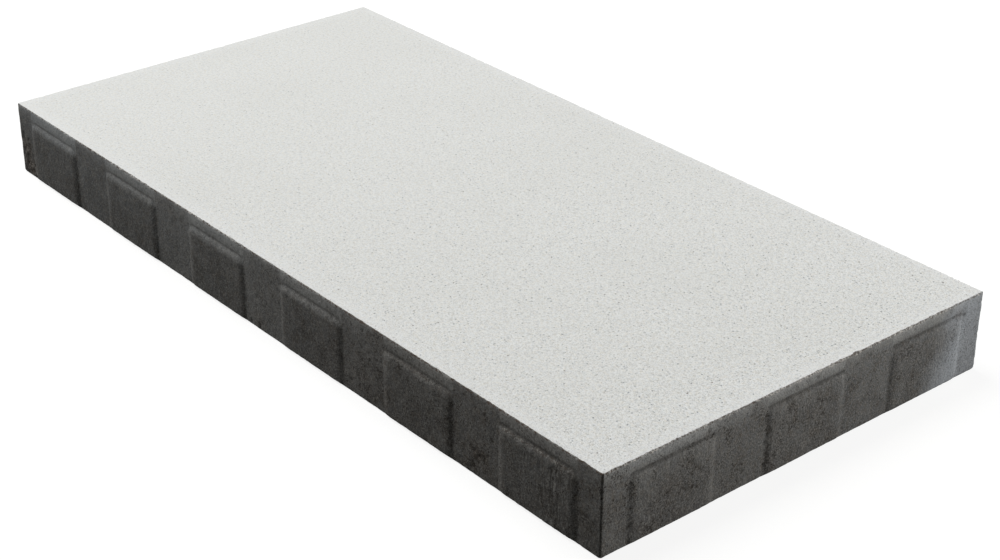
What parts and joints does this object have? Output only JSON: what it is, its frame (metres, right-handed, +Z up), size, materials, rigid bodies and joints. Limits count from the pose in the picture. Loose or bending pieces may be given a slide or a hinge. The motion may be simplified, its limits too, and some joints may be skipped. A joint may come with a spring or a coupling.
{
  "type": "concrete paving slab",
  "caption": "Rectangular square-edged concrete paving slab with bevelled spacer pads moulded on its four sides to set the joint.",
  "frame": {"origin": "centre of the bed face, which lies on the ground", "axes": "+X along the slab's length, +Y across its width, +Z up to the paving face"},
  "size_m": [0.7, 0.35, 0.06],
  "materials": {
    "concrete": "matte"
  },
  "bodies": {
    "root": {"paving_slab": "concrete"}
  },
  "joints": []
}
